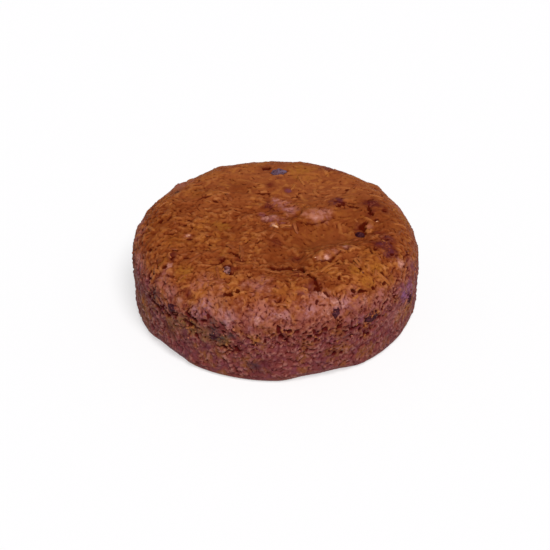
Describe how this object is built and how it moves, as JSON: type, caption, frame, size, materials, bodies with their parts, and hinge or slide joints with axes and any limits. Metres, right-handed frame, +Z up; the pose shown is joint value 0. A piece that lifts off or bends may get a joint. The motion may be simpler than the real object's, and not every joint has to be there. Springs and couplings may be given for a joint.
{
  "type": "carrot cake",
  "caption": "Plain round uncut carrot cake, without icing, with a domed shoulder, a sunken top and raisins showing in its crust.",
  "frame": {"origin": "middle of the flat base, on the surface the cake stands on", "axes": "+Z up through the cake; +X to the right and +Y away as the cake is shown from its front"},
  "size_m": [0.2008, 0.2008, 0.0691],
  "materials": {
    "crust": null,
    "raisin_skin": null
  },
  "bodies": {
    "root": {"carrot_cake": "crust", "raisin_01": "raisin_skin", "raisin_02": "raisin_skin", "raisin_03": "raisin_skin", "raisin_04": "raisin_skin", "raisin_05": "raisin_skin", "raisin_06": "raisin_skin", "raisin_07": "raisin_skin", "raisin_08": "raisin_skin", "raisin_09": "raisin_skin", "raisin_10": "raisin_skin", "raisin_11": "raisin_skin", "raisin_12": "raisin_skin", "raisin_13": "raisin_skin", "raisin_14": "raisin_skin", "raisin_15": "raisin_skin"}
  },
  "joints": []
}
